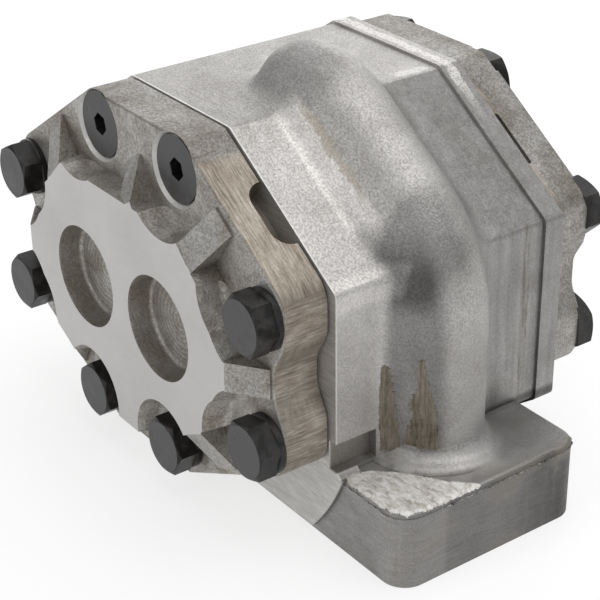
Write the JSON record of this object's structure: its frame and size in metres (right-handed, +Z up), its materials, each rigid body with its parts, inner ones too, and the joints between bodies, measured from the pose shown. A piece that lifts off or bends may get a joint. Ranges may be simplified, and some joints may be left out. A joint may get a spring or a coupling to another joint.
{
  "type": "hydraulic gear pump",
  "caption": "Cast aluminium external gear pump with octagonal bolted covers, a raised cored passage over one shoulder down to a ported foot, and a keyed drive shaft.",
  "frame": {"origin": "centre of the foot's flat mounting face, which holds both ports", "axes": "+Z up from the mounting face; +Y along both gear shafts, from the blind front cover to the drive end; +X across the body towards the side where the passage comes down and the foot sticks out"},
  "size_m": [0.1745, 0.1533, 0.1272],
  "materials": {
    "cast_body": "sand-cast, bare, oil-stained",
    "cast_covers": "sand-cast with machined faces",
    "block_alloy": "turned",
    "ground_steel": "ground",
    "bush_metal": "rolled",
    "seal_rubber": "matte",
    "black_fasteners": "black oxide"
  },
  "bodies": {
    "housing": {"front_bearing_block": "block_alloy", "front_block_seal": "seal_rubber", "front_countersunk_screws": "black_fasteners", "front_cover": "cast_covers", "front_dowel_pins": "ground_steel", "front_drive_bush": "bush_metal", "front_face_seal": "seal_rubber", "front_hex_bolts": "black_fasteners", "front_idler_bush": "bush_metal", "front_washers": "black_fasteners", "pressure_port_seal": "seal_rubber", "pump_body": "cast_body", "rear_bearing_block": "block_alloy", "rear_block_seal": "seal_rubber", "rear_cover": "cast_covers", "rear_dowel_pins": "ground_steel", "rear_drive_bush": "bush_metal", "rear_face_seal": "seal_rubber", "rear_hex_bolts": "black_fasteners", "rear_idler_bush": "bush_metal", "seal_retaining_ring": "black_fasteners", "shaft_seal_case": "ground_steel", "shaft_seal_lip": "seal_rubber", "suction_port_seal": "seal_rubber"},
    "drive": {"drive_gear_shaft": "ground_steel"},
    "idler": {"idler_gear_shaft": "ground_steel"}
  },
  "joints": [
    {"name": "drive_spin", "type": "hinge", "parent": "housing", "child": "drive", "pos_m": [-0.0099, 0.00605, 0.056], "axis": [0, 1, 0], "continuous": true},
    {"name": "idler_spin", "type": "hinge", "parent": "housing", "child": "idler", "pos_m": [-0.0505, 0.00605, 0.056], "axis": [0, 1, 0], "continuous": true}
  ],
  "couplings": [
    {"joint": "idler_spin", "follows": "drive_spin", "ratio": -1}
  ]
}
